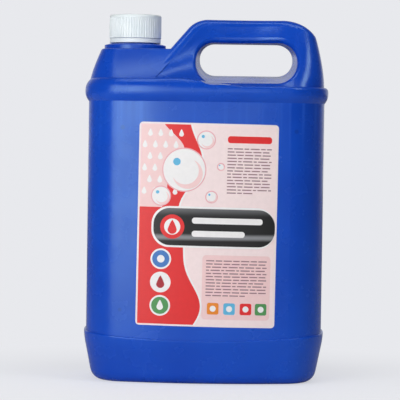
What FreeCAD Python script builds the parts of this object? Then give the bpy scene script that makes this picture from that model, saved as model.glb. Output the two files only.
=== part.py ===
import FreeCAD, Part
import math
import os
import Sketcher
from FreeCAD import Placement, Rotation, Vector

# Five litre bleach bottle in blow moulded polyethylene, with a screw cap and a front label.
# The origin is the centre of the base, +Z is up and -Y is the labelled face.

os.makedirs("parts", exist_ok=True)
doc = FreeCAD.newDocument("bleach_bottle")

# Sizes in millimetres, angles in degrees.
VALUES = {
    # Blow moulded shell
    "wall": 1.2,
    "panel_half_width": 96.1,
    "panel_half_depth": 63.7,
    "corner_radius": 34.5,
    "front_crown_radius": 313.3,
    "side_crown_radius": 250.6,
    # Base, heel and the ridge above it
    "base_recess": 3.0,
    "base_ring_width": 16.7,
    "base_inset": 5.4,
    "base_ring_radius": 2.0,
    "heel_radius": 10.4,
    "flank_radius": 60.0,
    "ledge_height": 35.4,
    "ledge_stand_out": 1.7,
    "ledge_arch_radius": 1000.0,
    "ledge_radius": 1.0,
    # Bead below the shoulder
    "bead_height": 233.7,
    "bead_half_height": 8.7,
    "bead_stand_out": 3.0,
    "bead_radius": 11.5,
    "bead_foot_radius": 0.8,
    "shoulder_rise": 9.6,
    "shoulder_inset": 1.3,
    "shoulder_dip": 5.4,
    "dip_left": -18.0,
    "dip_right": 26.0,
    "dip_radius": 45.0,
    "shoulder_radius": 2.6,
    # Foot of the platform and the handle, inside the shoulder
    "foot_sink": 6.7,
    "foot_side_inset": 0.4,
    "foot_front_inset": 2.6,
    "foot_corner_inset": 2.1,
    "foot_lap": 0.5,
    "foot_spread": 0.3,
    "foot_depth": 7.0,
    # Platform beside the handle
    "platform_rise": 24.4,
    "middle_rise": 1.2,
    "platform_step": 1.2,
    "platform_half_depth": 30.8,
    "platform_narrowing": 13.0,
    "platform_left_inset": 10.5,
    "platform_left_lean": 12.5,
    "platform_reach": 117.0,
    "platform_corner": 16.7,
    "platform_top_corner": 10.02,
    "platform_overlap": 8.4,
    "platform_edge_radius": 2.1,
    # Handle
    "handle_rise": 49.0,
    "handle_loft_over": 2.7,
    "handle_right_inset": 5.1,
    "handle_right_lean": 7.5,
    "handle_middle_width": 138.0,
    "handle_top_width": 110.6,
    "handle_middle_depth": 20.9,
    "handle_middle_waist": 99.2,
    "handle_top_depth": 15.7,
    "handle_top_waist": 156.6,
    "handle_corner": 13.6,
    "handle_top_corner": 10.88,
    "handle_edge_radius": 6.3,
    "handle_left_corner": 105.5,
    "handle_left_spread": 45.6,
    "handle_left_radius": 20.9,
    "handle_right_corner": 7.5,
    "handle_right_spread": 7.0,
    "handle_right_rise": 20.0,
    "handle_right_radius": 34.0,
    # Hand hole
    "hole_floor_rise": 3.9,
    "grip_height": 19.3,
    "hole_left_offset": 3.2,
    "right_leg_width": 26.7,
    "hole_left_flare": 7.0,
    "hole_right_flare": 5.2,
    "hole_top_flare": 2.6,
    "hole_floor_drop": 9.4,
    "hole_rim_radius": 3.6,
    # Collar and neck
    "neck_inset": 36.9,
    "collar_radius": 25.1,
    "collar_rise": 3.4,
    "collar_slope_width": 4.5,
    "collar_slope_rise": 1.2,
    "collar_edge_radius": 0.6,
    "collar_inside_radius": 2.0,
    "neck_radius": 17.1,
    "neck_wall": 1.9,
    "neck_length": 21.4,
    "neck_mouth_radius": 0.6,
    "stop_bead_depth": 1.2,
    "stop_bead_rise": 1.8,
    "stop_bead_undercut": 0.3,
    "stop_bead_width": 0.7,
    "stop_bead_slope": 1.6,
    "stop_bead_radius": 0.2,
    # Cap, tamper ring, liner
    "cap_radius": 21.2,
    "cap_end": 2.1,
    "cap_height": 19.1,
    "ring_height": 3.5,
    "ring_inset": 0.35,
    "ring_edge_radius": 0.3,
    "hook_gap": 0.3,
    "rib_count": 60,
    "rib_depth": 0.45,
    "rib_groove_width": 0.9,
    "cap_edge_radius": 1.6,
    "cap_foot_radius": 0.4,
    "cap_mouth_radius": 0.3,
    "cap_inside_radius": 0.5,
    "liner_thickness": 1.0,
    "liner_edge_radius": 0.2,
    "liner_clearance": 0.1,
    "thread_room": 1.75,
    "ring_gap": 0.6,
    "piece_gap": 0.35,
    # Label
    "label_width": 110.4,
    "label_height": 161.2,
    "label_x": 1.3,
    "label_above_ledge": 12.0,
    "label_corner": 3.0,
    "label_slope": 1.4,
    "label_thickness": 0.15,
    "label_film": 0.05,
}

# Laps and allowances of the construction, in millimetres. They lie inside the part or past it.
LEDGE_LAP = 12
LEDGE_LAP_TAPER = 4
SHOULDER_OVER = 2
COLLAR_LAP = 12
HOLE_OVER = 6
CUT_OVER = 1
LABEL_OVER = 4
UNDER = 10
BEYOND = 120
SHEET_REACH = 200

# Shares of the size that they go with.
BAND_SHARE = 0.9
CORE_SHARE = 0.6
BEAD_CREST_SHARE = 0.55
HOLE_ROUND_SHARE = 0.48

# How far a slanted line of the hollow moves for one wall, so that the wall stays even.
RECESS_SHIFT = 0.42
ARCH_SHIFT = 0.5
LEFT_FOOT_SHIFT = 1.2
LEFT_TOP_SHIFT = 0.5
HOLE_SHIFT = 1.25
COLLAR_SHIFT = 0.5

sheet = doc.addObject("Spreadsheet::Sheet", "Sizes")
for row, (name, number) in enumerate(VALUES.items(), start=1):
    sheet.set("A%d" % row, name)
    sheet.set("B%d" % row, str(number))
    sheet.setAlias("B%d" % row, name)
doc.recompute()


class Size:
    """A length that carries its number and its expression on the sheet."""

    def __init__(self, text, number):
        self.text = text
        self.number = number

    def joined(self, sign, other, number):
        return Size("(%s %s %s)" % (self.text, sign, sized(other).text), number)

    def __add__(self, other):
        return self.joined("+", other, self.number + sized(other).number)

    def __sub__(self, other):
        return self.joined("-", other, self.number - sized(other).number)

    def __mul__(self, other):
        return self.joined("*", other, self.number * sized(other).number)

    def __truediv__(self, other):
        return self.joined("/", other, self.number / sized(other).number)

    def __radd__(self, other):
        return sized(other) + self

    def __rsub__(self, other):
        return sized(other) - self

    def __rmul__(self, other):
        return sized(other) * self

    def __neg__(self):
        return sized(0) - self


def sized(item):
    """Turn a plain number into a Size."""
    if isinstance(item, Size):
        return item
    return Size("(%r)" % float(item), float(item))


def read(name):
    """A named size from the sheet."""
    return Size("Sizes.%s" % name, float(getattr(sheet, name)))


S = {name: read(name) for name in VALUES}


def derive():
    """Places that follow from the sizes above."""
    half = S["panel_half_width"]
    S["shoulder_height"] = S["bead_height"] + S["shoulder_rise"]
    S["platform_height"] = S["shoulder_height"] + S["platform_rise"]
    S["handle_top"] = S["shoulder_height"] + S["handle_rise"]
    S["foot_height"] = S["shoulder_height"] - S["foot_sink"]
    S["middle_height"] = S["platform_height"] + S["middle_rise"]
    S["top_height"] = S["handle_top"] + S["handle_loft_over"]
    S["foot_half_width"] = half - S["foot_side_inset"]
    S["foot_half_depth"] = S["panel_half_depth"] - S["foot_front_inset"]
    S["foot_corner"] = S["corner_radius"] - S["foot_corner_inset"]
    S["platform_top_depth"] = S["platform_half_depth"] - S["platform_narrowing"]
    S["platform_left_middle"] = S["platform_left_inset"] - half
    S["platform_left_top"] = S["platform_left_middle"] + S["platform_left_lean"]
    S["platform_right"] = S["platform_reach"] - half
    S["handle_right_middle"] = half - S["handle_right_inset"]
    S["handle_right_top"] = S["handle_right_middle"] - S["handle_right_lean"]
    S["handle_middle_x"] = S["handle_right_middle"] - S["handle_middle_width"] / 2
    S["handle_top_x"] = S["handle_right_top"] - S["handle_top_width"] / 2
    S["handle_left_x"] = half - S["handle_left_corner"]
    S["handle_left_foot"] = S["handle_left_x"] - S["handle_left_spread"]
    S["handle_right_x"] = half - S["handle_right_corner"]
    S["hole_bottom"] = S["shoulder_height"] + S["hole_floor_rise"]
    S["hole_top"] = S["handle_top"] - S["grip_height"]
    S["hole_left"] = S["handle_left_x"] + S["hole_left_offset"]
    S["hole_right"] = half - S["right_leg_width"]
    S["neck_x"] = S["neck_inset"] - half
    S["collar_height"] = S["platform_height"] + S["collar_rise"]
    S["collar_top"] = S["collar_height"] + S["collar_slope_rise"]
    S["neck_top"] = S["collar_top"] + S["neck_length"] - S["collar_slope_rise"]
    S["ring_foot"] = S["collar_top"] + S["ring_gap"]
    S["ring_top"] = S["ring_foot"] + S["ring_height"]
    S["cap_top"] = S["neck_top"] + S["liner_clearance"] * 2 + S["liner_thickness"] + S["cap_end"]
    S["cap_foot"] = S["cap_top"] - S["cap_height"]
    S["label_foot"] = S["ledge_height"] + S["label_above_ledge"]


derive()


def origin_plane(body, role):
    """One of the three origin planes of a body."""
    for feature in body.Origin.OriginFeatures:
        if feature.Role == role:
            return feature
    raise ValueError(role)


def new_sketch(body, name, role, lift=0):
    """A sketch on an origin plane of its body, lifted along the plane's normal."""
    sketch = body.newObject("Sketcher::SketchObject", name)
    sketch.AttachmentSupport = [(origin_plane(body, role), "")]
    sketch.MapMode = "FlatFace"
    lift = sized(lift)
    sketch.AttachmentOffset = Placement(Vector(0, 0, lift.number), Rotation())
    sketch.setExpression("AttachmentOffset.Base.z", lift.text)
    return sketch


def bind(sketch, index, size, negative=False):
    """Tie one sketch dimension to the sheet."""
    text = size.text
    if negative:
        text = "-(%s)" % text
    sketch.setExpression("Constraints[%d]" % index, text)


def pin(sketch, geometry, point, x, y):
    """Hold a point at x, y from the sketch origin."""
    x = sized(x)
    y = sized(y)
    for kind, size in (("DistanceX", x), ("DistanceY", y)):
        index = sketch.addConstraint(
            Sketcher.Constraint(kind, -1, 1, geometry, point, size.number))
        bind(sketch, index, size)


def add_outline(sketch, corners):
    """A closed outline of straight sides with rounded corners.

    Each corner is x, y and a radius, with radius 0 for a sharp corner.
    """
    points = [(sized(x), sized(y), sized(r)) for x, y, r in corners]
    count = len(points)
    start = []
    end = []
    for i in range(count):
        x, y, r = points[i]
        here = Vector(x.number, y.number, 0)
        before = Vector(points[i - 1][0].number, points[i - 1][1].number, 0)
        after_corner = points[(i + 1) % count]
        after = Vector(after_corner[0].number, after_corner[1].number, 0)
        back = (before - here).normalize()
        ahead = (after - here).normalize()
        reach = 0.0
        if r.number > 0:
            half_angle = back.getAngle(ahead) / 2
            reach = r.number / math.tan(half_angle)
        start.append(here + back * reach)
        end.append(here + ahead * reach)
    lines = []
    for i in range(count):
        j = (i + 1) % count
        lines.append(sketch.addGeometry(Part.LineSegment(end[i], start[j]), False))
    for i in range(count):
        x, y, r = points[i]
        line_in = lines[i - 1]
        line_out = lines[i]
        if r.number <= 0:
            sketch.addConstraint(Sketcher.Constraint("Coincident", line_in, 2, line_out, 1))
            pin(sketch, line_out, 1, x, y)
            continue
        here = Vector(x.number, y.number, 0)
        bisector = ((start[i] - here).normalize() + (end[i] - here).normalize()).normalize()
        half_angle = (start[i] - here).getAngle(end[i] - here) / 2
        centre = here + bisector * (r.number / math.sin(half_angle))
        middle = centre - bisector * r.number
        arc = sketch.addGeometry(Part.Arc(start[i], middle, end[i]), False)
        first_is_start = sketch.getPoint(arc, 1).distanceToPoint(start[i]) < 1e-6
        in_end = 1 if first_is_start else 2
        out_end = 2 if first_is_start else 1
        sketch.addConstraint(Sketcher.Constraint("Tangent", line_in, 2, arc, in_end))
        sketch.addConstraint(Sketcher.Constraint("Tangent", arc, out_end, line_out, 1))
        index = sketch.addConstraint(Sketcher.Constraint("Radius", arc, r.number))
        bind(sketch, index, r)
        corner = sketch.addGeometry(Part.Point(here), True)
        pin(sketch, corner, 1, x, y)
        sketch.addConstraint(Sketcher.Constraint("PointOnObject", corner, 1, line_in))
        sketch.addConstraint(Sketcher.Constraint("PointOnObject", corner, 1, line_out))


def crown_arcs(half_width, half_depth, front_radius, side_radius, corner_radius):
    """Arcs of a level outline with crowned faces, as centre, radius and end angles."""
    a, b = sized(half_width), sized(half_depth)
    rf, rs, rc = sized(front_radius), sized(side_radius), sized(corner_radius)
    front_off = rf.number - b.number
    side_off = rs.number - a.number
    far_front = rf.number - rc.number
    far_side = rs.number - rc.number
    gap = math.hypot(front_off, side_off)
    along = (far_front ** 2 - far_side ** 2 + gap ** 2) / (2 * gap)
    across = math.sqrt(far_front ** 2 - along ** 2)
    ux, uy = -side_off / gap, -front_off / gap
    corner_x = ux * along - uy * across
    corner_y = front_off + uy * along + ux * across
    corner = Vector(corner_x, corner_y, 0)
    front_angle = math.atan2(corner.y - front_off, corner.x)
    side_angle = math.atan2(corner.y, corner.x + side_off)
    return corner, front_off, side_off, front_angle, side_angle


def add_crowned_outline(sketch, half_width, half_depth, front_radius, side_radius,
                        corner_radius, centre_x=0, split_right=False):
    """A level outline of eight tangent arcs, with the right face split if it starts a path."""
    sizes = [sized(v) for v in (half_width, half_depth, front_radius, side_radius, corner_radius)]
    a, b, rf, rs, rc = sizes
    cx = sized(centre_x)
    corner, front_off, side_off, front_angle, side_angle = crown_arcs(*sizes)
    x0 = cx.number
    normal = Vector(0, 0, 1)

    def arc(centre, radius, first, last):
        circle = Part.Circle(centre, normal, radius)
        return sketch.addGeometry(Part.ArcOfCircle(circle, first, last), False)

    half = math.pi
    right_centre = Vector(x0 - side_off, 0, 0)
    left_centre = Vector(x0 + side_off, 0, 0)
    front_centre = Vector(x0, front_off, 0)
    rear_centre = Vector(x0, -front_off, 0)
    chain = []
    if split_right:
        chain.append(("side", -1, arc(right_centre, rs.number, 0, -side_angle)))
    else:
        chain.append(("side", -1, arc(right_centre, rs.number, side_angle, -side_angle)))
    chain.append(("corner", 0, arc(Vector(x0 + corner.x, -corner.y, 0), rc.number,
                                   -side_angle, -front_angle)))
    chain.append(("rear", -1, arc(rear_centre, rf.number, -front_angle, half + front_angle)))
    chain.append(("corner", 0, arc(Vector(x0 - corner.x, -corner.y, 0), rc.number,
                                   half + front_angle, half + side_angle)))
    chain.append(("side", 1, arc(left_centre, rs.number, half + side_angle, half - side_angle)))
    chain.append(("corner", 0, arc(Vector(x0 - corner.x, corner.y, 0), rc.number,
                                   half - side_angle, half - front_angle)))
    chain.append(("front", 1, arc(front_centre, rf.number, half - front_angle,
                                  2 * half + front_angle)))
    chain.append(("corner", 0, arc(Vector(x0 + corner.x, corner.y, 0), rc.number,
                                   front_angle, side_angle)))
    if split_right:
        chain.append(("side", -1, arc(right_centre, rs.number, side_angle, 0)))
    count = len(chain)
    for i in range(count):
        here = chain[i][2]
        following = chain[(i + 1) % count][2]
        if split_right and i == count - 1:
            sketch.addConstraint(Sketcher.Constraint("PointOnObject", here, 2, -1))
            sketch.addConstraint(Sketcher.Constraint("PointOnObject", following, 1, -1))
        else:
            sketch.addConstraint(Sketcher.Constraint("Tangent", here, 2, following, 1))
    for place, direction, index in chain:
        radius = {"side": rs, "corner": rc, "rear": rf, "front": rf}[place]
        number = sketch.addConstraint(Sketcher.Constraint("Radius", index, radius.number))
        bind(sketch, number, radius)
        if place == "side":
            pin(sketch, index, 3, cx + direction * (rs - a), 0)
        elif place == "front":
            pin(sketch, index, 3, cx, rf - b)
        elif place == "rear":
            pin(sketch, index, 3, cx, b - rf)


def add_waisted_outline(sketch, half_width, half_depth, waist_radius, side_radius,
                        corner_radius, centre_x=0):
    """A level outline whose front and rear faces curve inward, half_depth at the middle."""
    a, b, rw, rs, rc = [sized(v) for v in
                        (half_width, half_depth, waist_radius, side_radius, corner_radius)]
    cx = sized(centre_x)
    waist_off = b.number + rw.number
    side_off = rs.number - a.number
    far_front = rw.number + rc.number
    far_side = rs.number - rc.number
    gap = math.hypot(waist_off, side_off)
    along = (far_front ** 2 - far_side ** 2 + gap ** 2) / (2 * gap)
    across = math.sqrt(far_front ** 2 - along ** 2)
    ux, uy = -side_off / gap, waist_off / gap
    corner_x = ux * along + uy * across
    corner_y = -waist_off + uy * along - ux * across
    side_angle = math.atan2(corner_y, corner_x + side_off)
    lean = math.atan2(corner_y + waist_off, corner_x)
    x0 = cx.number
    normal = Vector(0, 0, 1)

    def arc(x, y, radius, first, last):
        circle = Part.Circle(Vector(x, y, 0), normal, radius)
        return sketch.addGeometry(Part.ArcOfCircle(circle, first, last), False)

    pi = math.pi
    right = arc(x0 - side_off, 0, rs.number, side_angle, -side_angle)
    rear_right = arc(x0 + corner_x, -corner_y, rc.number, -side_angle, pi - lean)
    rear = arc(x0, waist_off, rw.number, pi + lean, 2 * pi - lean)
    rear_left = arc(x0 - corner_x, -corner_y, rc.number, lean, pi + side_angle)
    left = arc(x0 + side_off, 0, rs.number, pi + side_angle, pi - side_angle)
    front_left = arc(x0 - corner_x, corner_y, rc.number, pi - side_angle, 2 * pi - lean)
    front = arc(x0, -waist_off, rw.number, lean, pi - lean)
    front_right = arc(x0 + corner_x, corner_y, rc.number, pi + lean, 2 * pi + side_angle)
    joints = ((right, 2, rear_right, 1), (rear_right, 2, rear, 2), (rear, 1, rear_left, 1),
              (rear_left, 2, left, 1), (left, 2, front_left, 1), (front_left, 2, front, 2),
              (front, 1, front_right, 1), (front_right, 2, right, 1))
    for first, first_end, second, second_end in joints:
        sketch.addConstraint(Sketcher.Constraint("Tangent", first, first_end, second, second_end))
    for index in (right, left):
        bind(sketch, sketch.addConstraint(Sketcher.Constraint("Radius", index, rs.number)), rs)
    for index in (front, rear):
        bind(sketch, sketch.addConstraint(Sketcher.Constraint("Radius", index, rw.number)), rw)
    for index in (rear_right, rear_left, front_left, front_right):
        bind(sketch, sketch.addConstraint(Sketcher.Constraint("Radius", index, rc.number)), rc)
    pin(sketch, right, 3, cx - (rs - a), 0)
    pin(sketch, left, 3, cx + (rs - a), 0)
    pin(sketch, front, 3, cx, -(b + rw))
    pin(sketch, rear, 3, cx, b + rw)


def pad(body, sketch, name, length):
    """A pad of bound length."""
    feature = body.newObject("PartDesign::Pad", name)
    feature.Profile = sketch
    feature.setExpression("Length", sized(length).text)
    return feature


def cut_outside(body, name, corners):
    """Trim a body to an outline seen from the front."""
    sketch = new_sketch(body, name + "_outline", "XZ_Plane")
    add_outline(sketch, corners)
    reach = sized(SHEET_REACH)
    add_outline(sketch, [(-reach, -reach, 0), (reach, -reach, 0),
                         (reach, reach * 2, 0), (-reach, reach * 2, 0)])
    doc.recompute()
    feature = body.newObject("PartDesign::Pocket", name)
    feature.Profile = sketch
    feature.Type = "ThroughAll"
    feature.Midplane = True
    doc.recompute()
    return feature


def swept_ring(body, name, skin, section, foot, top):
    """A band of wall swept round the level outline, with its middle filled in."""
    a = S["panel_half_width"]
    b = S["panel_half_depth"]
    path = new_sketch(body, name + "_path", "XY_Plane")
    add_crowned_outline(path, a, b, S["front_crown_radius"], S["side_crown_radius"],
                        S["corner_radius"], split_right=True)
    inside = a - S["corner_radius"] * BAND_SHARE
    profile = new_sketch(body, name + "_profile", "XZ_Plane")
    add_outline(profile, [(inside, foot, 0)] + section + [(inside, top, 0)])
    doc.recompute()
    sweep = body.newObject("PartDesign::AdditivePipe", name + "_sweep")
    sweep.Profile = profile
    sweep.Spine = (path, ["Edge%d" % (i + 1) for i in range(9)])
    sweep.Transition = "Transformed"
    doc.recompute()
    inset = S["corner_radius"] * CORE_SHARE
    core = new_sketch(body, name + "_core_outline", "XY_Plane", foot)
    add_crowned_outline(core, a - inset, b - inset, S["front_crown_radius"] - inset,
                        S["side_crown_radius"] - inset, S["corner_radius"] - inset)
    doc.recompute()
    pad(body, core, name + "_core", top - foot)
    doc.recompute()


def trim_edge_names(body):
    """Names of the edges that bound the latest front view trim, apart from its own seams."""
    shape = body.Shape
    trimmed = trim_faces(shape)

    def on_trim(edge):
        middle = Part.Vertex(middle_of(edge))
        touching = [face for face in trimmed if face.distToShape(middle)[0] < 1e-4]
        across = abs(edge.tangentAt(edge.FirstParameter).y) > 0.999
        return len(touching) == 1 and not (across and abs(middle.Point.y) < 1)

    return edge_names(shape, on_trim)


def skirt_form(name, skin):
    """The base, the heel and the slightly wider foot of the wall, below an arched ledge."""
    body = doc.addObject("PartDesign::Body", name)
    edge = S["panel_half_width"] - skin
    out = edge + S["ledge_stand_out"]
    ring_outside = S["panel_half_width"] - S["base_inset"]
    ring_inside = ring_outside - S["base_ring_width"] + skin * RECESS_SHIFT
    high = S["ledge_height"] + LEDGE_LAP
    swept_ring(body, name, skin, [
        (ring_inside - S["base_recess"], S["base_recess"] + skin, S["base_ring_radius"]),
        (ring_inside, skin, S["base_ring_radius"]),
        (edge - S["base_inset"], skin, S["heel_radius"] - skin),
        (out, S["ledge_height"], S["flank_radius"]),
        (out, high, 0),
    ], S["base_recess"] + skin, high)
    body_arch(body, name + "_arch", skin)
    return body


def body_arch(body, name, skin):
    """Trim the foot of the wall to a shallow arch, low at the middle of the front."""
    radius = S["ledge_arch_radius"]
    centre = S["ledge_height"] - skin * ARCH_SHIFT + radius
    sketch = new_sketch(body, name + "_outline", "XZ_Plane")
    circle = sketch.addGeometry(
        Part.Circle(Vector(0, centre.number, 0), Vector(0, 0, 1), radius.number))
    bind(sketch, sketch.addConstraint(
        Sketcher.Constraint("Radius", circle, radius.number)), radius)
    pin(sketch, circle, 3, 0, centre)
    doc.recompute()
    feature = body.newObject("PartDesign::Pocket", name)
    feature.Profile = sketch
    feature.Type = "ThroughAll"
    feature.Midplane = True
    doc.recompute()
    if skin.number == 0:
        rounded(body, name + "_rim", trim_edge_names(body), S["ledge_radius"])


def wall_form(name, skin):
    """The panels and the bead, drawn in by skin, with the shoulder dipped at the handle."""
    body = doc.addObject("PartDesign::Body", name)
    edge = S["panel_half_width"] - skin
    foot = S["ledge_height"] - LEDGE_LAP
    crest = S["bead_half_height"] * BEAD_CREST_SHARE
    above = S["shoulder_height"] + SHOULDER_OVER
    swept_ring(body, name, skin, [
        (edge - LEDGE_LAP_TAPER, foot, 0),
        (edge, S["ledge_height"] - LEDGE_LAP_TAPER, 0),
        (edge, S["bead_height"] - S["bead_half_height"], S["bead_foot_radius"]),
        (edge + S["bead_stand_out"], S["bead_height"] - crest, S["bead_radius"] - skin),
        (edge + S["bead_stand_out"], S["bead_height"] + crest, S["bead_radius"] - skin),
        (edge - S["shoulder_inset"] - SHOULDER_OVER, above, 0),
    ], foot, above)
    low = S["shoulder_height"] - S["shoulder_dip"] - skin
    high = S["shoulder_height"] - skin
    cut_outside(body, name + "_shoulder", [
        (-BEYOND, -UNDER, 0),
        (BEYOND, -UNDER, 0),
        (BEYOND, low, 0),
        (S["dip_right"], low, S["dip_radius"]),
        (S["dip_left"], high, S["dip_radius"]),
        (-BEYOND, high, 0),
    ])
    if skin.number == 0:
        rounded(body, name + "_shoulder_edge", trim_edge_names(body), S["shoulder_radius"])
    return body


def level_loft(body, name, sections, skin):
    """A smooth loft through level sections, each drawn in by skin."""
    sketches = []
    for number, (height, kind, centre, half_width, half_depth, crown, corner) in enumerate(sections):
        sketch = new_sketch(body, "%s_level_%d" % (name, number), "XY_Plane", height)
        side = S["side_crown_radius"] - skin
        if kind == "crowned":
            add_crowned_outline(sketch, half_width - skin, half_depth - skin, crown - skin,
                                side, corner - skin, centre)
        else:
            add_waisted_outline(sketch, half_width - skin, half_depth - skin, crown + skin,
                                side, corner - skin, centre)
        sketches.append(sketch)
    doc.recompute()
    loft = body.newObject("PartDesign::AdditiveLoft", name)
    loft.Profile = sketches[0]
    loft.Sections = sketches[1:]
    doc.recompute()
    return loft


def trim_faces(shape):
    """Faces of a front view trim, which run straight from front to rear."""
    found = []
    for face in shape.Faces:
        u0, u1, v0, v1 = face.ParameterRange
        normals = [face.normalAt(u0 + (u1 - u0) * p, v0 + (v1 - v0) * q)
                   for p, q in ((0.2, 0.3), (0.5, 0.5), (0.8, 0.6))]
        if all(abs(normal.y) < 1e-4 for normal in normals):
            found.append(face)
    return found


def edge_names(shape, test):
    """Names of the edges that pass a test."""
    return ["Edge%d" % (i + 1) for i, edge in enumerate(shape.Edges) if test(edge)]


def middle_of(edge):
    """The point half way along an edge."""
    first, last = edge.ParameterRange
    return edge.valueAt((first + last) / 2)


def rounded(body, name, edges, radius):
    """Round some edges of a body's latest feature."""
    feature = body.newObject("PartDesign::Fillet", name)
    feature.Base = (feature.BaseFeature, edges)
    feature.setExpression("Radius", sized(radius).text)
    doc.recompute()
    return feature


def platform_form(name, skin):
    """The raised block that carries the neck, to the left of the handle."""
    body = doc.addObject("PartDesign::Body", name)
    step = S["platform_step"]
    crown = S["front_crown_radius"]
    middle_half = (S["platform_right"] - S["platform_left_middle"]) / 2
    middle_centre = (S["platform_right"] + S["platform_left_middle"]) / 2
    top_half = (S["platform_right"] - S["platform_left_top"]) / 2
    top_centre = (S["platform_right"] + S["platform_left_top"]) / 2
    level_loft(body, name + "_loft", [
        (S["foot_height"], "crowned", 0, S["foot_half_width"], S["foot_half_depth"] - step,
         crown, S["foot_corner"]),
        (S["middle_height"], "crowned", middle_centre, middle_half,
         S["platform_half_depth"] - step, crown, S["platform_corner"]),
        (S["top_height"], "crowned", top_centre, top_half,
         S["platform_top_depth"] - step, crown, S["platform_top_corner"]),
    ], skin)
    low = S["foot_height"] + S["foot_lap"]
    slope = S["handle_left_spread"] / (S["handle_top"] - low)
    inside = S["handle_left_foot"] + S["platform_overlap"]
    cut_outside(body, name + "_trim", [
        (-BEYOND, low, 0),
        (inside, low, 0),
        (inside + slope * (S["platform_height"] - low), S["platform_height"] - skin, 0),
        (-BEYOND, S["platform_height"] - skin, 0),
    ])
    shape = body.Shape
    top = S["platform_height"].number - skin.number

    beside_neck = S["neck_x"].number + S["collar_radius"].number
    near_middle = 10

    def on_top(edge):
        middle = middle_of(edge)
        level = abs(middle.z - top) < 0.01
        inside_handle = middle.x > beside_neck and abs(middle.y) < near_middle
        return level and not inside_handle

    rounded(body, name + "_edges", edge_names(shape, on_top), S["platform_edge_radius"])
    return body


def handle_form(name, skin):
    """The handle and its two legs, with the hand hole and rounded edges."""
    body = doc.addObject("PartDesign::Body", name)
    low = S["foot_height"] + S["foot_lap"]
    level_loft(body, name + "_loft", [
        (S["foot_height"], "crowned", 0, S["foot_half_width"], S["foot_half_depth"],
         S["front_crown_radius"], S["foot_corner"]),
        (S["middle_height"], "waisted", S["handle_middle_x"], S["handle_middle_width"] / 2,
         S["handle_middle_depth"], S["handle_middle_waist"], S["handle_corner"]),
        (S["top_height"], "waisted", S["handle_top_x"], S["handle_top_width"] / 2,
         S["handle_top_depth"], S["handle_top_waist"], S["handle_top_corner"]),
    ], skin)
    cut_outside(body, name + "_trim", [
        (S["handle_left_foot"] + skin * LEFT_FOOT_SHIFT, low, 0),
        (BEYOND, low, 0),
        (S["handle_right_x"] + S["handle_right_spread"] - skin,
         S["foot_height"] + S["handle_right_rise"], 0),
        (S["handle_right_x"] - skin, S["handle_top"] - skin, S["handle_right_radius"] - skin),
        (S["handle_left_x"] + skin * LEFT_TOP_SHIFT, S["handle_top"] - skin,
         S["handle_left_radius"] - skin),
    ])
    shape = body.Shape
    outline = trim_faces(shape)
    above_foot = low.number + 2

    def on_outline(edge):
        middle = middle_of(edge)
        touching = [face for face in outline
                    if face.distToShape(Part.Vertex(middle))[0] < 1e-4]
        straight = edge.tangentAt(edge.FirstParameter)
        across = abs(straight.y) > 0.999 and len(edge.Curve.toBSpline().getPoles()) < 3
        return middle.z > above_foot and len(touching) == 1 and not across

    rounded(body, name + "_edges", edge_names(shape, on_outline),
            S["handle_edge_radius"] - skin)
    skirt = new_sketch(body, name + "_skirt_outline", "XY_Plane", low + S["foot_lap"])
    spread = S["foot_spread"] - skin
    add_crowned_outline(skirt, S["foot_half_width"] + spread, S["foot_half_depth"] + spread,
                        S["front_crown_radius"] + spread, S["side_crown_radius"] + spread,
                        S["foot_corner"] + spread)
    doc.recompute()
    feature = pad(body, skirt, name + "_skirt", S["foot_depth"])
    feature.Reversed = True
    doc.recompute()
    if skin.number > 0:
        hole_cuts(body, name + "_hole", skin * HOLE_SHIFT)
        return body
    hole_cuts(body, name + "_hole", skin)
    rim = edge_names(body.Shape, lambda edge: on_rim(edge, body.Shape, skin))
    rounded(body, name + "_rim", rim, S["hole_rim_radius"])
    return body


def hole_cuts(body, name, skin, kind="PartDesign::SubtractiveLoft"):
    """The hand hole, which opens out from the parting line to the front and the rear."""
    reach = S["panel_half_depth"] + HOLE_OVER
    left, right = S["hole_left"] - skin, S["hole_right"] + skin
    low, high = S["hole_bottom"] - skin, S["hole_top"] + skin
    for side, suffix in ((1, "front"), (-1, "rear")):
        near = new_sketch(body, "%s_%s_inner" % (name, suffix), "XZ_Plane")
        radius = (high - low) * HOLE_ROUND_SHARE
        add_outline(near, [(left, low, radius), (right, low, radius),
                           (right, high, radius), (left, high, radius)])
        far = new_sketch(body, "%s_%s_outer" % (name, suffix), "XZ_Plane", reach * side)
        far_left, far_right = left - S["hole_left_flare"], right + S["hole_right_flare"]
        far_low, far_high = low - S["hole_floor_drop"], high + S["hole_top_flare"]
        radius = (far_high - far_low) * HOLE_ROUND_SHARE
        add_outline(far, [(far_left, far_low, radius), (far_right, far_low, radius),
                          (far_right, far_high, radius), (far_left, far_high, radius)])
        doc.recompute()
        loft = body.newObject(kind, "%s_%s" % (name, suffix))
        loft.Profile = near
        loft.Sections = [far]
        loft.Ruled = True
        doc.recompute()


def on_rim(edge, shape, skin):
    """True for an edge where the hand hole leaves the front or rear of the handle."""
    middle = middle_of(edge)
    x, z = middle.x, middle.z
    slack = skin.number
    near_parting_line = 8
    if abs(middle.y) < near_parting_line:
        return False
    flare = abs(middle.y) / (S["panel_half_depth"].number + HOLE_OVER)
    left = S["hole_left"].number - slack - S["hole_left_flare"].number * flare
    right = S["hole_right"].number + slack + S["hole_right_flare"].number * flare
    low = S["hole_bottom"].number - slack - S["hole_floor_drop"].number * flare
    high = S["hole_top"].number + slack + S["hole_top_flare"].number * flare
    near = 0.1
    inside = left - near < x < right + near and low - near < z < high + near
    first, last = edge.ParameterRange
    ends = [edge.valueAt(first), edge.valueAt(last)]
    same_side = ends[0].y * ends[1].y > 0
    across = abs(edge.tangentAt((first + last) / 2).y) > 0.9
    return inside and same_side and not across


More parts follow.
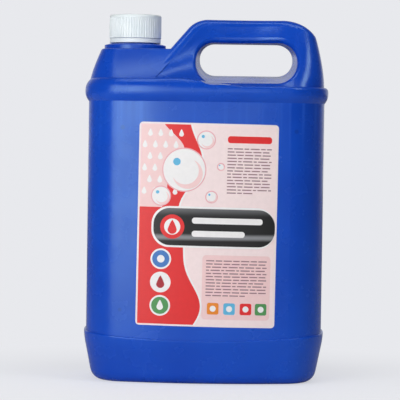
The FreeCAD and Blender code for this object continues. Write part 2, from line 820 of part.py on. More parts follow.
def turned(name, corners):
    """A body turned about the neck axis, corners given as radius, height and rounding."""
    body = doc.addObject("PartDesign::Body", name)
    sketch = new_sketch(body, name + "_section", "XZ_Plane")
    add_outline(sketch, [(S["neck_x"] + r, z, rounding) for r, z, rounding in corners])
    foot = Vector(S["neck_x"].number, 0, 0)
    axis = sketch.addGeometry(Part.LineSegment(foot, foot + Vector(0, UNDER, 0)), True)
    pin(sketch, axis, 1, S["neck_x"], 0)
    pin(sketch, axis, 2, S["neck_x"], UNDER)
    doc.recompute()
    feature = body.newObject("PartDesign::Revolution", name + "_turned")
    feature.Profile = sketch
    feature.ReferenceAxis = (sketch, ["Axis0"])
    feature.Angle = 360
    doc.recompute()
    return body


def fused(name, parts):
    """One solid from several forms."""
    fuse = doc.addObject("Part::MultiFuse", name)
    fuse.Shapes = parts
    fuse.Refine = True
    doc.recompute()
    return fuse


def difference(name, base, tool):
    """The base with the tool taken away."""
    cut = doc.addObject("Part::Cut", name)
    cut.Base = base
    cut.Tool = tool
    cut.Refine = True
    doc.recompute()
    return cut


def shell_form(name, skin):
    """Wall, platform and handle as one form with the hand hole through it."""
    skin = sized(skin)
    skirt = skirt_form(name + "_skirt", skin)
    wall = wall_form(name + "_wall", skin)
    platform = platform_form(name + "_platform", skin)
    hole = doc.addObject("PartDesign::Body", name + "_hole")
    hole_cuts(hole, name + "_hole", skin, "PartDesign::AdditiveLoft")
    base = fused(name + "_base", [skirt, wall, platform])
    scooped = difference(name + "_scooped", base, hole)
    handle = handle_form(name + "_handle", skin)
    whole = fused(name + "_whole", [scooped, handle])
    return whole


def neck_corners():
    """Section of the collar and neck, solid to the axis."""
    root = S["neck_radius"]
    stop = S["neck_radius"] + S["stop_bead_depth"]
    low = S["collar_top"]
    lap = S["platform_height"] - COLLAR_LAP
    bead_low = low + S["stop_bead_rise"]
    bead_high = bead_low + S["stop_bead_width"]
    return [
        (0, lap, 0),
        (S["collar_radius"], lap, 0),
        (S["collar_radius"], S["collar_height"], S["collar_edge_radius"]),
        (S["collar_radius"] - S["collar_slope_width"], low, S["collar_edge_radius"]),
        (root, low, 0),
        (root, bead_low - S["stop_bead_undercut"], 0),
        (stop, bead_low, S["stop_bead_radius"]),
        (stop, bead_high, S["stop_bead_radius"]),
        (root, bead_high + S["stop_bead_slope"], 0),
        (root, S["neck_top"], S["neck_mouth_radius"]),
        (0, S["neck_top"], 0),
    ]


outer = shell_form("outer", 0)
neck = turned("neck", neck_corners())
full = fused("full", [outer, neck])
inner = shell_form("inner", S["wall"])
collar_room = S["collar_radius"] - S["wall"]
bore_radius = S["neck_radius"] - S["neck_wall"]
bore = turned("bore", [
    (0, S["shoulder_height"], 0),
    (collar_room, S["shoulder_height"], 0),
    (collar_room, S["collar_height"] - S["wall"], S["collar_inside_radius"]),
    (bore_radius, S["collar_height"] - S["wall"] * COLLAR_SHIFT, 0),
    (bore_radius, S["neck_top"] + CUT_OVER, 0),
    (0, S["neck_top"] + CUT_OVER, 0),
])
cavity = fused("cavity", [inner, bore])
bottle = difference("bottle", full, cavity)


def make_cap():
    """The screw cap with its upright ribs."""
    radius = S["cap_radius"]
    inside = S["neck_radius"] + S["thread_room"]
    body = turned("screw_cap", [
        (inside, S["cap_foot"], S["cap_mouth_radius"]),
        (radius, S["cap_foot"], S["cap_foot_radius"]),
        (radius, S["cap_top"], S["cap_edge_radius"]),
        (0, S["cap_top"], 0),
        (0, S["cap_top"] - S["cap_end"], 0),
        (inside, S["cap_top"] - S["cap_end"], S["cap_inside_radius"]),
    ])
    sketch = new_sketch(body, "rib_outline", "XY_Plane", S["cap_foot"] - CUT_OVER)
    outer_x = S["neck_x"] + radius
    width = S["rib_groove_width"]
    add_outline(sketch, [(outer_x - S["rib_depth"], 0, 0),
                         (outer_x + S["rib_depth"], width, 0),
                         (outer_x + S["rib_depth"], -width, 0)])
    doc.recompute()
    groove = body.newObject("PartDesign::Pocket", "rib_groove")
    groove.Profile = sketch
    groove.Reversed = True
    groove.setExpression("Length", (S["cap_height"] - S["cap_edge_radius"]).text)
    doc.recompute()
    axis = doc.getObject("screw_cap_section")
    pattern = body.newObject("PartDesign::PolarPattern", "ribs")
    pattern.Originals = [groove]
    pattern.Axis = (axis, ["Axis0"])
    pattern.Angle = 360
    pattern.Occurrences = int(S["rib_count"].number)
    body.Tip = pattern
    doc.recompute()
    return body


def make_ring():
    """The tamper ring, hooked under the stop bead of the neck."""
    inside = S["neck_radius"] + S["piece_gap"]
    round_stop = inside + S["stop_bead_depth"]
    outside = S["cap_radius"] - S["ring_inset"]
    hook_top = S["collar_top"] + S["stop_bead_rise"] - S["hook_gap"]
    return turned("tamper_ring", [
        (inside, S["ring_foot"], 0),
        (outside, S["ring_foot"], S["ring_edge_radius"]),
        (outside, S["ring_top"], S["ring_edge_radius"]),
        (round_stop, S["ring_top"], 0),
        (round_stop, hook_top, 0),
        (inside, hook_top - S["stop_bead_undercut"], 0),
    ])


def make_liner():
    """The foam disc that seals the neck under the cap."""
    foot = S["neck_top"] + S["liner_clearance"]
    radius = S["neck_radius"] + S["thread_room"] - S["piece_gap"]
    return turned("cap_liner", [
        (0, foot, 0),
        (radius, foot, S["liner_edge_radius"]),
        (radius, foot + S["liner_thickness"], S["liner_edge_radius"]),
        (0, foot + S["liner_thickness"], 0),
    ])


def make_label():
    """The thin front label, which follows the crown of the front face."""
    body = doc.addObject("PartDesign::Body", "front_label")
    sketch = new_sketch(body, "label_band", "XY_Plane", S["label_foot"] - LABEL_OVER)
    crown = S["front_crown_radius"]
    centre_y = crown - S["panel_half_depth"]
    half = S["label_width"] / 2 + LABEL_OVER
    left, right = S["label_x"] - half, S["label_x"] + half
    arcs = []
    for radius in (crown + S["label_film"], crown + S["label_film"] + S["label_thickness"]):
        r = radius.number
        first = -math.acos(left.number / r)
        last = -math.acos(right.number / r)
        circle = Part.Circle(Vector(0, centre_y.number, 0), Vector(0, 0, 1), r)
        arc = sketch.addGeometry(Part.ArcOfCircle(circle, first, last), False)
        bind(sketch, sketch.addConstraint(Sketcher.Constraint("Radius", arc, r)), radius)
        pin(sketch, arc, 3, 0, centre_y)
        for point, x in ((1, left), (2, right)):
            index = sketch.addConstraint(
                Sketcher.Constraint("DistanceX", -1, 1, arc, point, x.number))
            bind(sketch, index, x)
        arcs.append(arc)
    for point in (1, 2):
        line = sketch.addGeometry(Part.LineSegment(
            sketch.getPoint(arcs[0], point), sketch.getPoint(arcs[1], point)), False)
        sketch.addConstraint(Sketcher.Constraint("Coincident", line, 1, arcs[0], point))
        sketch.addConstraint(Sketcher.Constraint("Coincident", line, 2, arcs[1], point))
    doc.recompute()
    pad(body, sketch, "label_pad", S["label_height"] + 2 * LABEL_OVER)
    doc.recompute()
    x0, x1 = S["label_x"] - S["label_width"] / 2, S["label_x"] + S["label_width"] / 2
    z0, z1 = S["label_foot"], S["label_foot"] + S["label_height"]
    corner = S["label_corner"]
    slope = S["label_slope"]
    cut_outside(body, "label_trim", [(x0, z0, corner), (x1, z0 - slope, corner),
                                     (x1 + slope, z1 - slope, corner), (x0 + slope, z1, corner)])
    return body


pieces = [bottle, make_cap(), make_ring(), make_liner(), make_label()]
doc.recompute()
for item in doc.Objects:
    if "Invalid" in item.State or "Error" in item.State:
        raise RuntimeError("%s did not build" % item.Name)
for piece in pieces:
    piece.Label = piece.Name
    shape = piece.Shape
    if shape.isNull() or not shape.isValid() or len(shape.Solids) != 1:
        raise RuntimeError("%s is not one valid solid" % piece.Name)
    print(piece.Name, round(shape.Volume), "cubic mm")
    shape.exportStep("parts/%s.step" % piece.Name)
print("cavity", round(cavity.Shape.Volume), "cubic mm")
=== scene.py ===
import bpy
import math
from mathutils import Matrix, Vector


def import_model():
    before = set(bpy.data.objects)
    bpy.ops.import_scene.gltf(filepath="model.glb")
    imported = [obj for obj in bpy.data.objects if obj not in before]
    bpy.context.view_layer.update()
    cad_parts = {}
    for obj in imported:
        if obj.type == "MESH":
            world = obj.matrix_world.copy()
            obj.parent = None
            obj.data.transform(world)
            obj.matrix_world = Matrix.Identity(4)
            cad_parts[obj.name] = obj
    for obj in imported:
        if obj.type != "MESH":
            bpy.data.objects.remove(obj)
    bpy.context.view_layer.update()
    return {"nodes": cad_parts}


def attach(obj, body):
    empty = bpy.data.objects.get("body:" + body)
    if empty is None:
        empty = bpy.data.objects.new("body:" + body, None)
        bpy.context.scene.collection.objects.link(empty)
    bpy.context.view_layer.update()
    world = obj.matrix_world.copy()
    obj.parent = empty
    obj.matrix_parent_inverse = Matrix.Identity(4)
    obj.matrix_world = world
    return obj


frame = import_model()
MM = 0.001

# Sizes in millimetres that the drawn details share with the solids. The front panel is an arc:
# PANEL_DEPTH is its distance from the bottle's middle plane and PANEL_CROWN its radius.
NECK_X = -59.2
NECK_RADIUS = 17.1
CAP_BORE = 18.85
THREAD_PITCH = 4.23
PANEL_DEPTH = 63.7
PANEL_CROWN = 313.3
BEAD_FOOT = 225.0
LABEL_MIDDLE = 1.3
LABEL_FOOT = 47.4
LABEL_HALF = 55.2
LABEL_TALL = 161.2
LABEL_SLOPE = 1.4

# Screw thread, in millimetres. A ridge starts at the foot, stands out by the reach and sinks a
# little into its wall. Its section gives the rise and the share of the reach at each corner.
THREAD_FOOT = 280.6
THREAD_REACH = 1.1
THREAD_SINK = 0.1
THREAD_SECTION = ((-0.75, 0.0), (-0.3, 1.0), (0.3, 1.0), (0.75, 0.0))
THREAD_STEPS = 64
THREAD_FADE_STEPS = 10
NECK_TURNS = 2.2
CAP_TURNS = 2.3

# Faint dark marks on the front: across, up and radius in millimetres.
MARKS = ((-66.0, 203.9, 2.4), (-66.5, 58.8, 2.0), (72.0, 202.3, 2.2))

# Camera, fitted to the photo: angles in degrees, distances in metres, and the picture's point
# where the middle of the base falls, in pixels.
PHOTO_PIXELS = 400
SENSOR_MM = 36
LENS_MM = 194.3
CAMERA_DISTANCE = 1.775
CAMERA_YAW = 0.5
CAMERA_PITCH = -1.645
CAMERA_ROLL = 0.83
BASE_PIXEL = (202.77, 376.8)
CAMERA_CLIP = 20

# Soft lights: name, degrees to the left of the camera's side, degrees up, distance, width and
# height in metres, and watts. All aim at a point on the bottle's axis.
LIGHTS = (
    ("left_soft", 35, 8, 1.3, 0.74, 1.2, 11),
    ("top_front", -4, 80, 1.3, 1.2, 0.3, 3.6),
    ("front_fill", 7, 3, 2.3, 2.6, 1.2, 13.5),
    ("right_high", -52, 44, 1.4, 0.42, 0.3, 2.6),
)
LIGHT_AIM = 0.15


def srgb(r, g, b):
    """Linear colour from 0 to 255 screen values, by the standard sRGB curve."""
    out = []
    for v in (r, g, b):
        v = v / 255
        out.append(v / 12.92 if v <= 0.04045 else ((v + 0.055) / 1.055) ** 2.4)
    return (*out, 1.0)


BACKDROP = srgb(232, 233, 237)


class Nodes:
    """A small helper that adds and links the nodes of one tree."""

    def __init__(self, tree):
        self.tree = tree

    def add(self, kind, settings=None, **inputs):
        node = self.tree.nodes.new(kind)
        for key, value in (settings or {}).items():
            setattr(node, key, value)
        for key, value in inputs.items():
            self.put(node, key, value)
        return node

    def put(self, node, key, value):
        """Set or link an input by name, or by number when the key is i and a number."""
        if isinstance(key, str) and key.startswith("i") and key[1:].isdigit():
            key = int(key[1:])
        socket = node.inputs[key]
        if isinstance(value, bpy.types.NodeSocket):
            self.tree.links.new(value, socket)
        elif isinstance(value, bpy.types.Node):
            self.tree.links.new(value.outputs[0], socket)
        else:
            socket.default_value = value

    def math(self, operation, a, b=0.0):
        return self.add("ShaderNodeMath", {"operation": operation}, i0=a, i1=b).outputs[0]

    def fade(self, value, low, high, to_low=0.0, to_high=1.0):
        """A smooth change from to_low to to_high, while the value goes from low to high."""
        node = self.add("ShaderNodeMapRange", {"interpolation_type": "SMOOTHSTEP"},
                        Value=value)
        for key, number in (("From Min", low), ("From Max", high),
                            ("To Min", to_low), ("To Max", to_high)):
            self.put(node, key, number)
        return node.outputs[0]

    def mix(self, factor, a, b):
        """A colour between a and b."""
        node = self.add("ShaderNodeMix", {"data_type": "RGBA"})
        factor_socket, a_socket, b_socket = 0, 6, 7
        self.put(node, factor_socket, factor)
        self.put(node, a_socket, a)
        self.put(node, b_socket, b)
        return node.outputs[2]

    def noise(self, vector, scale, detail=3.0):
        return self.add("ShaderNodeTexNoise", None, Vector=vector, Scale=scale,
                        Detail=detail, Roughness=0.5).outputs[0]

    def stretch(self, vector, x=1, y=1, z=1):
        return self.add("ShaderNodeVectorMath", {"operation": "MULTIPLY"},
                        i0=vector, i1=(x, y, z)).outputs[0]

    def bump(self, height, strength, distance, under=None):
        """A normal for the relief, on top of the normal under it."""
        node = self.add("ShaderNodeBump", None, Height=height, Strength=strength,
                        Distance=distance)
        if under is not None:
            self.put(node, "Normal", under)
        return node.outputs[0]


class Material(Nodes):
    """A new material with its nodes."""

    def __init__(self, name):
        self.material = bpy.data.materials.new(name)
        self.material.use_nodes = True
        super().__init__(self.material.node_tree)
        self.shader = self.tree.nodes["Principled BSDF"]

    def shade(self, **inputs):
        """Set or link inputs of the main shader, with _ for the spaces in their names."""
        for key, value in inputs.items():
            self.put(self.shader, key.replace("_", " "), value)

    def place(self):
        """Object position in metres and its separate axes."""
        where = self.add("ShaderNodeTexCoord").outputs["Object"]
        axes = self.add("ShaderNodeSeparateXYZ", None, i0=where)
        return where, axes.outputs[0], axes.outputs[1], axes.outputs[2]


# Materials
def front_spot(n, x, y, z, spot_x, spot_z, radius):
    """A soft round mask on the front face, centred at spot_x and spot_z in millimetres."""
    dx = n.math("SUBTRACT", x, spot_x * MM)
    dz = n.math("SUBTRACT", z, spot_z * MM)
    away = n.math("SQRT", n.math("ADD", n.math("MULTIPLY", dx, dx), n.math("MULTIPLY", dz, dz)))
    solid_share = 0.5
    disc = n.fade(away, radius * solid_share * MM, radius * MM, 1.0, 0.0)
    return n.math("MULTIPLY", disc, n.math("LESS_THAN", y, 0.0))


def shell_material():
    """Blue blow-moulded polyethylene with die lines, faint waves, marks and a mould seam, and
    painted sheen that lightens the die lines below the bead.
    """
    n = Material("blue_shell")
    where, x, y, z = n.place()
    fine_streaks = n.noise(n.stretch(where, z=0.012), scale=900, detail=2.0)
    broad_streaks = n.noise(n.stretch(where, z=0.02), scale=260)
    near_bead = n.math("MULTIPLY", n.fade(z, low=0.165, high=0.222),
                       n.math("LESS_THAN", z, BEAD_FOOT * MM))
    waves = n.noise(where, scale=18, detail=2.0)
    grain = n.noise(where, scale=1500, detail=2.0)
    seam = n.fade(n.math("ABSOLUTE", y), low=0.00010, high=0.00040, to_low=1.0, to_high=0.0)

    blue, paler_blue = srgb(6, 66, 184), srgb(9, 74, 194)
    streak_sheen_blue, streak_sheen_share = srgb(44, 98, 212), 0.45
    seam_blue, mark_blue, dark_share = srgb(12, 34, 96), srgb(14, 42, 120), 0.35
    colour = n.mix(n.fade(waves, low=0.3, high=0.7), blue, paler_blue)
    # Painted sheen: the die lines just below the bead are coloured lighter, standing in for
    # their brighter reflection; their relief is in the bumps below.
    painted_streak_sheen = n.math("MULTIPLY", n.fade(broad_streaks, low=0.5, high=0.75), near_bead)
    colour = n.mix(n.math("MULTIPLY", painted_streak_sheen, streak_sheen_share), colour, streak_sheen_blue)
    colour = n.mix(n.math("MULTIPLY", seam, dark_share), colour, seam_blue)
    for spot_x, spot_z, radius in MARKS:
        mark = front_spot(n, x, y, z, spot_x, spot_z, radius)
        colour = n.mix(n.math("MULTIPLY", mark, dark_share), colour, mark_blue)

    streaks_near_bead = n.math("MULTIPLY", broad_streaks, near_bead)
    normal = None
    for relief, strength, distance in ((waves, 0.12, 0.0012),
                                       (streaks_near_bead, 0.22, 0.00022),
                                       (fine_streaks, 0.08, 0.00005),
                                       (grain, 0.10, 0.00003),
                                       (seam, 0.6, 0.00022)):
        normal = n.bump(relief, strength, distance, normal)
    rough = n.fade(n.noise(where, scale=60), low=0.3, high=0.7, to_low=0.22, to_high=0.29)
    n.shade(Base_Color=colour, Roughness=rough, Normal=normal, IOR=1.5,
            Specular_Tint=(0.62, 0.95, 1.0, 1.0))
    return n.material


def cap_material():
    """White moulded polypropylene."""
    n = Material("white_cap")
    where = n.place()[0]
    grain = n.noise(where, scale=1800, detail=2.0)
    patches = n.fade(n.noise(where, scale=90), low=0.3, high=0.7)
    n.shade(Base_Color=n.mix(patches, srgb(234, 243, 245), srgb(240, 247, 248)),
            Roughness=0.36, Normal=n.bump(grain, strength=0.15, distance=0.00003), IOR=1.49)
    return n.material


def foam_material():
    """Closed-cell foam."""
    n = Material("foam_liner")
    cells = n.noise(n.place()[0], scale=2600)
    n.shade(Base_Color=srgb(232, 232, 226), Roughness=0.7,
            Normal=n.bump(cells, strength=0.4, distance=0.00008))
    return n.material


def print_material(name, colour):
    """Ink or label film, with a slight mottle."""
    n = Material(name)
    mottle = n.fade(n.noise(n.place()[0], scale=300, detail=2.0), low=0.3, high=0.7)
    dark_share = 0.97
    dark = tuple(c * dark_share for c in colour[:3]) + (1.0,)
    n.shade(Base_Color=n.mix(mottle, dark, colour), Roughness=0.38, IOR=1.45)
    return n.material


def banner_material():
    """Black ink with a painted reflection: it turns grey towards its upper edge and in a thin
    band lower down.
    """
    n = Material("ink_banner")
    z = n.place()[3]
    # Painted reflection: the grey towards the upper edge and the thin grey band stand in for
    # light mirrored in the glossy black print.
    upper = n.fade(z, low=0.1335, high=0.142)
    band_starts = n.fade(z, low=0.1142, high=0.1172)
    band_ends = n.fade(z, low=0.1178, high=0.1208, to_low=1.0, to_high=0.0)
    lower = n.math("MULTIPLY", band_starts, band_ends)
    upper_reflection_share, lower_reflection_share = 0.32, 0.5
    glow = n.math("ADD", n.math("MULTIPLY", upper, upper_reflection_share),
                  n.math("MULTIPLY", lower, lower_reflection_share))
    black, grey = srgb(7, 7, 9), srgb(184, 186, 190)
    n.shade(Base_Color=n.mix(glow, black, grey), Roughness=0.28, IOR=1.45)
    return n.material


SHELL = shell_material()
CAP = cap_material()
for node, material in (("bottle", SHELL), ("screw_cap", CAP), ("tamper_ring", CAP),
                       ("cap_liner", foam_material()),
                       ("front_label", print_material("label_film", srgb(244, 230, 229)))):
    mesh = frame["nodes"][node].data
    mesh.materials.clear()
    mesh.materials.append(material)


def new_piece(name, points, faces, material, body):
    """A mesh object that shows one piece of detail and moves with a body."""
    mesh = bpy.data.meshes.new(name)
    mesh.from_pydata(points, [], faces)
    mesh.materials.append(material)
    piece = bpy.data.objects.new(name, mesh)
    bpy.context.scene.collection.objects.link(piece)
    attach(piece, body)
    return piece


# Screw threads of the neck and the cap
def thread(name, root, crest, foot, turns, material, body):
    """A right-hand ridge round the neck axis that fades out at both ends."""
    sides = len(THREAD_SECTION)
    steps = int(turns * THREAD_STEPS)
    points = []
    for i in range(steps + 1):
        angle = 2 * math.pi * i / THREAD_STEPS
        height = foot + THREAD_PITCH * i / THREAD_STEPS
        share = min(1.0, i / THREAD_FADE_STEPS, (steps - i) / THREAD_FADE_STEPS)
        for rise, reach in THREAD_SECTION:
            radius = root + (crest - root) * reach * share
            points.append(((NECK_X + radius * math.cos(angle)) * MM,
                           radius * math.sin(angle) * MM, (height + rise) * MM))
    faces = []
    for i in range(steps):
        for j in range(sides):
            here, ahead = sides * i, sides * (i + 1)
            following = (j + 1) % sides
            faces.append((here + j, ahead + j, ahead + following, here + following))
    faces.append(tuple(reversed(range(sides))))
    faces.append(tuple(sides * steps + j for j in range(sides)))
    piece = new_piece(name, points, faces, material, body)
    for polygon in piece.data.polygons:
        polygon.use_smooth = True


thread("neck_thread", NECK_RADIUS - THREAD_SINK, NECK_RADIUS + THREAD_REACH, THREAD_FOOT,
       NECK_TURNS, SHELL, "bottle")
thread("cap_thread", CAP_BORE + THREAD_SINK, CAP_BORE - THREAD_REACH,
       THREAD_FOOT - THREAD_PITCH / 2, CAP_TURNS, CAP, "cap")


# Artwork of the label. Positions are u across from the label's middle and v up from its foot,
# and all lengths are in millimetres.

# How far the print stands off the panel, the height of one layer, and the widest facet that
# follows the panel's curve closely enough for it.
LABEL_LIFT = 0.22
INK_STEP = 0.02
INK_FACET = 3.0
# Rows of facets in each kind of shape, and columns where the width does not set them.
BAR_ROWS, DISC_ROWS, DROP_ROWS, WAVE_ROWS = 28, 26, 30, 60
DROP_COLUMNS, SEA_COLUMNS, SHALLOW_COLUMNS = 4, 16, 12

# Layers, from the film up. A shape that lies on another one takes the layer above it.
PAPER, GROUND, FIGURE, DETAIL, BANNER_RIM = 1, 2, 3, 4, 10

INKS = (
    ("blush", (248, 228, 227)),
    ("red", (228, 36, 38)),
    ("deep_red", (170, 20, 38)),
    ("white", (243, 241, 240)),
    ("rose", (236, 176, 182)),
    ("pink", (244, 208, 207)),
    ("banner", None),
    ("line", (150, 112, 122)),
    ("blue", (62, 120, 192)),
    ("green", (78, 150, 84)),
    ("orange", (236, 138, 36)),
    ("cyan", (94, 182, 222)),
)
MARGIN = 1.4
PAPER_CORNER = 1.8

# The wave's edge: its mean place, then the reach, length and phase of each swell.
SHORE = -15
SWELLS = ((8, 19.0, 0.6), (3, 9.0, 0.0))
FOAM_WIDTH = 1.5
SHALLOW_FOOT = 94
SHALLOW_SHIFT = -17
SHALLOW_REACH, SHALLOW_LENGTH = 5, 7.0

# A drop's height and shape, and the pattern of small drops on the wave.
DROP_TALL, DROP_TAPER, DROP_SWELL = 2.1, 0.8, 0.15
RAIN_START = (-50.5, 106)
RAIN_STEP = (8.2, 9.2)
RAIN_COLUMNS, RAIN_ROWS = 4, 6
RAIN_RADIUS = 1.9
RAIN_MARGIN = 4

# Bubbles: u, v and radius.
BUBBLES = ((-19, 124, 17.5), (-2, 148, 7.5), (-37, 103, 8), (3, 103, 5), (10, 127, 3.2))
BUBBLE_RIM = 0.9

# Bars and panels: left, right, low and high. Paragraphs: left, right, top, rows and seed.
TITLE_BAR = (15, 50, 146, 151.5)
LOWER_PANEL = (-3, 51, 6, 57)
LOWER_PANEL_CORNER = 3
UPPER_TEXT = (15, 50, 142, 15, 0)
LOWER_TEXT = (0, 48, 53, 12, 5)
BAR_CORNER = 2.2
LINE_STEP, LINE_TALL = 2.5, 0.9
WORD_LEAST, WORD_SPREAD, WORD_GAP, WORD_ROOM = 2.2, 5.2, 1.1, 2
ROW_PHASE, WORD_PHASE = 12.9, 4.7
LAST_ROW_GAP = 0.35

# The banner: left, low, high and corner of its rim and its field, its emblem's centre, radii
# and drop, and its two bars.
BANNER_RIM_SIZE = (-44, 62.5, 95, 14)
BANNER_SIZE = (-42.4, 64, 93.5, 13)
EMBLEM = (-27.5, 78.8)
EMBLEM_RADIUS, EMBLEM_CORE = 9.6, 6.4
EMBLEM_DROP_V, EMBLEM_DROP_RADIUS = 76.6, 3.6
BANNER_BAR_LEFT, BANNER_BAR_LOW, BANNER_BAR_HIGH = -12, 81.6, 86.4
BANNER_BAR_ENDS = (44, 30)
BANNER_BAR_STEP = 10.4

# Badges, one above the other, with a drop or a disc on each.
BADGE_U = -36
BADGE_RIM, BADGE_CORE = 8.2, 6.8
BADGE_HEIGHTS = (16, 34.5, 53)
GREEN_BADGE_DROP = (15, 2.6)
WHITE_BADGE_DROP = (33, 3.2)
BLUE_BADGE_DISC = 3.0

# Coloured squares with a dot.
CHIP_PLACES = (6, 19, 32, 44)
CHIP_HALF, CHIP_MIDDLE = 4.6, 14.6
CHIP_LOW, CHIP_HIGH = 10, 19.2
CHIP_CORNER, CHIP_DOT = 1.5, 2.4


def on_label(u, v, layer):
    """A point of the label's face, u across and v up, lifted by its layer."""
    x = LABEL_MIDDLE + u + LABEL_SLOPE * v / LABEL_TALL
    z = LABEL_FOOT + v - LABEL_SLOPE * (u + LABEL_HALF) / (2 * LABEL_HALF)
    radius = PANEL_CROWN + LABEL_LIFT + INK_STEP * layer
    y = PANEL_CROWN - PANEL_DEPTH - math.sqrt(radius * radius - x * x)
    return (x * MM, y * MM, z * MM)


def half_chord(radius, away):
    """Half the width of a circle at a distance from its centre."""
    return math.sqrt(max(0.0, radius ** 2 - away ** 2))


class Ink:
    """One colour of print, gathered into one mesh."""

    def __init__(self, name, colour):
        self.name = name
        self.material = (banner_material() if colour is None
                         else print_material("ink_" + name, srgb(*colour)))
        self.points = []
        self.faces = []

    def field(self, low, high, left, right, layer, rows, columns):
        """A field between left(v) and right(v), following the curve of the label."""
        start = len(self.points)
        for i in range(rows + 1):
            v = low + (high - low) * (0.5 - 0.5 * math.cos(math.pi * i / rows))
            a, b = left(v), right(v)
            for j in range(columns + 1):
                self.points.append(on_label(a + (b - a) * j / columns, v, layer))
        for i in range(rows):
            for j in range(columns):
                k = start + i * (columns + 1) + j
                self.faces.append((k, k + 1, k + columns + 2, k + columns + 1))

    def bar(self, left, right, low, high, layer, corner=0.0):
        """A rectangle, with rounded corners if a corner radius is given."""
        def inset(v):
            near = min(v - low, high - v)
            if corner <= 0 or near >= corner:
                return 0.0
            return corner - half_chord(corner, corner - near)
        self.field(low, high, lambda v: left + inset(v), lambda v: right - inset(v), layer,
                   BAR_ROWS if corner > 0 else 1, math.ceil((right - left) / INK_FACET))

    def disc(self, u, v, radius, layer):
        """A round field."""
        self.field(v - radius, v + radius, lambda w: u - half_chord(radius, w - v),
                   lambda w: u + half_chord(radius, w - v), layer,
                   DISC_ROWS, math.ceil(2 * radius / INK_FACET))

    def drop(self, u, v, radius, layer):
        """A round field drawn up to a point, like a drop."""
        top = v + radius * DROP_TALL

        def half(w):
            if w < v:
                return half_chord(radius, w - v)
            rise = (w - v) / (top - v)
            return radius * (1 - rise) ** DROP_TAPER * (1 + DROP_SWELL * rise)
        self.field(v - radius, top, lambda w: u - half(w), lambda w: u + half(w), layer,
                   DROP_ROWS, DROP_COLUMNS)

    def lines(self, left, right, top, count, seed, layer):
        """Rows of short bars of uneven length, in place of a paragraph."""
        for row in range(count):
            u = left
            high = top - row * LINE_STEP
            last = right - (LAST_ROW_GAP * (right - left) if row == count - 1 else 0)
            word = 0
            while u < last - WORD_ROOM:
                turn = ROW_PHASE * (row + 1) + WORD_PHASE * word + seed
                end = min(u + WORD_LEAST + WORD_SPREAD * abs(math.sin(turn)), last)
                self.bar(u, end, high - LINE_TALL, high, layer)
                u = end + WORD_GAP
                word += 1

    def make(self):
        new_piece("print_" + self.name, self.points, self.faces, self.material,
                  "bottle")


def label_artwork():
    """A wave with drops and bubbles, a banner, three badges, rows of short bars and squares."""
    inks = [Ink(name, colour) for name, colour in INKS]
    blush, red, deep, white, rose, pink, banner, line, blue, green, orange, cyan = inks
    edge = LABEL_HALF - MARGIN
    top = LABEL_TALL - MARGIN
    blush.bar(-edge, edge, MARGIN, top, PAPER, PAPER_CORNER)

    def shore(v):
        return sum((reach * math.sin(v / length + phase) for reach, length, phase in SWELLS),
                   SHORE)

    def shallows(v):
        return shore(v) + SHALLOW_SHIFT + SHALLOW_REACH * math.sin(v / SHALLOW_LENGTH)

    red.field(MARGIN, top, lambda v: -edge, shore, GROUND, WAVE_ROWS, SEA_COLUMNS)
    white.field(MARGIN, top, shore, lambda v: shore(v) + FOAM_WIDTH, GROUND, WAVE_ROWS, 1)
    pink.field(SHALLOW_FOOT, top, lambda v: -edge, shallows, FIGURE, WAVE_ROWS, SHALLOW_COLUMNS)
    for row in range(RAIN_ROWS):
        for column in range(RAIN_COLUMNS):
            u = RAIN_START[0] + column * RAIN_STEP[0] + (row % 2) * RAIN_STEP[0] / 2
            v = RAIN_START[1] + row * RAIN_STEP[1]
            if u < shore(v) - RAIN_MARGIN:
                white.drop(u, v, RAIN_RADIUS, DETAIL)

    # Shade, gleam and glint of a bubble: ink, shifts and radius as shares of its radius.
    bubble_parts = ((pink, 0.16, -0.18, 0.68), (white, 0.04, -0.04, 0.62),
                    (cyan, -0.34, 0.36, 0.17))
    for u, v, radius in BUBBLES:
        rose.disc(u, v, radius, DETAIL + 1)
        white.disc(u, v, radius - BUBBLE_RIM, DETAIL + 2)
        for layer, (ink, across, up, share) in enumerate(bubble_parts, DETAIL + 3):
            ink.disc(u + radius * across, v + radius * up, radius * share, layer)

    red.bar(*TITLE_BAR, GROUND, BAR_CORNER)
    line.lines(*UPPER_TEXT, GROUND)

    for layer, (ink, size) in enumerate(((white, BANNER_RIM_SIZE), (banner, BANNER_SIZE)),
                                        BANNER_RIM):
        left, low, high, corner = size
        ink.bar(left, edge, low, high, layer, corner)
    red.disc(*EMBLEM, EMBLEM_RADIUS, BANNER_RIM + 2)
    white.disc(*EMBLEM, EMBLEM_CORE, BANNER_RIM + 3)
    red.drop(EMBLEM[0], EMBLEM_DROP_V, EMBLEM_DROP_RADIUS, BANNER_RIM + 4)
    for i, end in enumerate(BANNER_BAR_ENDS):
        white.bar(BANNER_BAR_LEFT, end, BANNER_BAR_LOW - i * BANNER_BAR_STEP,
                  BANNER_BAR_HIGH - i * BANNER_BAR_STEP, BANNER_RIM + 2, BAR_CORNER)

    for v, core in zip(BADGE_HEIGHTS, (green, white, blue)):
        white.disc(BADGE_U, v, BADGE_RIM, DETAIL)
        core.disc(BADGE_U, v, BADGE_CORE, DETAIL + 1)
    deep.drop(BADGE_U, *WHITE_BADGE_DROP, DETAIL + 2)
    white.drop(BADGE_U, *GREEN_BADGE_DROP, DETAIL + 2)
    white.disc(BADGE_U, BADGE_HEIGHTS[2], BLUE_BADGE_DISC, DETAIL + 2)

    pink.bar(*LOWER_PANEL, GROUND, LOWER_PANEL_CORNER)
    line.lines(*LOWER_TEXT, FIGURE)
    for u, chip in zip(CHIP_PLACES, (orange, cyan, red, green)):
        chip.bar(u - CHIP_HALF, u + CHIP_HALF, CHIP_LOW, CHIP_HIGH, FIGURE, CHIP_CORNER)
        white.disc(u, CHIP_MIDDLE, CHIP_DOT, DETAIL)
    for ink in inks:
        ink.make()


label_artwork()


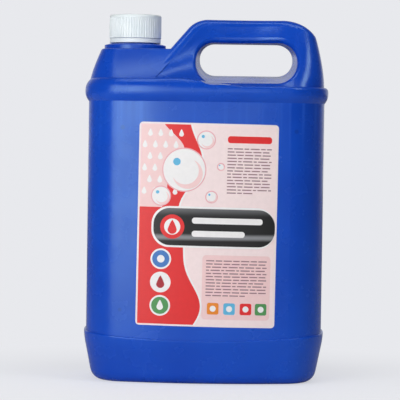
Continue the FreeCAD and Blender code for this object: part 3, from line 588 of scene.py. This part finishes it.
# Camera, lights and backdrop
def aim_camera():
    """The photo's camera: long lens, almost level, rolled a little."""
    data = bpy.data.cameras.new("camera")
    data.sensor_width = SENSOR_MM
    data.lens = LENS_MM
    data.clip_end = CAMERA_CLIP
    camera = bpy.data.objects.new("camera", data)
    bpy.context.scene.collection.objects.link(camera)
    turn = (Matrix.Rotation(math.radians(CAMERA_YAW), 4, "Z")
            @ Matrix.Rotation(math.radians(90 + CAMERA_PITCH), 4, "X")
            @ Matrix.Rotation(math.radians(CAMERA_ROLL), 4, "Z"))
    focal = LENS_MM / SENSOR_MM * PHOTO_PIXELS
    middle = PHOTO_PIXELS / 2
    origin = Vector(((BASE_PIXEL[0] - middle) / focal, (middle - BASE_PIXEL[1]) / focal,
                     -1)) * CAMERA_DISTANCE
    camera.matrix_world = Matrix.Translation(turn.to_3x3() @ -origin) @ turn
    bpy.context.scene.camera = camera


def soft_light(name, azimuth, elevation, distance, width, height, power):
    """A rectangular light, azimuth in degrees to the left of the camera's side."""
    data = bpy.data.lights.new(name, "AREA")
    data.shape = "RECTANGLE"
    data.size = width
    data.size_y = height
    data.energy = power
    turn, rise = math.radians(azimuth), math.radians(elevation)
    away = Vector((-math.sin(turn) * math.cos(rise), -math.cos(turn) * math.cos(rise),
                   math.sin(rise)))
    light = bpy.data.objects.new(name, data)
    light.location = Vector((0, 0, LIGHT_AIM)) + away * distance
    light.rotation_euler = (-away).to_track_quat("-Z", "Y").to_euler()
    bpy.context.scene.collection.objects.link(light)


def floor():
    """A pale floor that keeps its shadow near the bottle and fades into the backdrop."""
    left, right, near, far = -5, 5, -3, 6
    mesh = bpy.data.meshes.new("floor")
    mesh.from_pydata([(left, near, 0), (right, near, 0), (right, far, 0), (left, far, 0)], [],
                     [(0, 1, 2, 3)])
    sheet = bpy.data.objects.new("floor", mesh)
    n = Material("floor_white")
    n.shade(Base_Color=srgb(226, 227, 230), Roughness=0.7)
    where = n.stretch(n.place()[0], y=1.2)
    away = n.add("ShaderNodeVectorMath", {"operation": "LENGTH"}, i0=where).outputs["Value"]
    seen = n.add("ShaderNodeLightPath").outputs["Is Camera Ray"]
    lit_share = n.fade(away, low=0.08, high=0.34, to_low=0.55, to_high=0.0)
    # The lit floor's brightness as a share of the backdrop's.
    floor_light = 0.60
    glow = n.math("SUBTRACT", 1.0, n.math("MULTIPLY", lit_share, floor_light))
    plain = n.add("ShaderNodeEmission", None, Color=BACKDROP, Strength=glow)
    lit = n.add("ShaderNodeMixShader", None, i0=lit_share, i2=n.shader)
    both = n.add("ShaderNodeAddShader", None, i0=lit, i1=plain)
    blend = n.add("ShaderNodeMixShader", None, i0=seen, i1=n.shader, i2=both)
    n.put(n.tree.nodes["Material Output"], "Surface", blend)
    mesh.materials.append(n.material)
    bpy.context.scene.collection.objects.link(sheet)


def world():
    """A dim room that is lighter behind the bottle, and a pale backdrop for the camera."""
    surround = bpy.data.worlds.new("studio")
    bpy.context.scene.world = surround
    surround.use_nodes = True
    n = Nodes(surround.node_tree)
    n.tree.nodes.clear()
    where = n.add("ShaderNodeTexCoord").outputs["Generated"]
    ahead = n.add("ShaderNodeSeparateXYZ", None, i0=where).outputs[1]
    brightness = n.fade(ahead, low=0.5, high=0.95, to_low=0.12, to_high=0.75)
    room = n.add("ShaderNodeBackground", None, Color=(0.95, 0.97, 1.0, 1.0),
                 Strength=brightness)
    backdrop = n.add("ShaderNodeBackground", None, Color=BACKDROP)
    seen = n.add("ShaderNodeLightPath").outputs["Is Camera Ray"]
    mixer = n.add("ShaderNodeMixShader", None, i0=seen, i1=room, i2=backdrop)
    n.add("ShaderNodeOutputWorld", None, Surface=mixer)


aim_camera()
floor()
world()
for light in LIGHTS:
    soft_light(*light)
bpy.context.scene.view_settings.view_transform = "Standard"
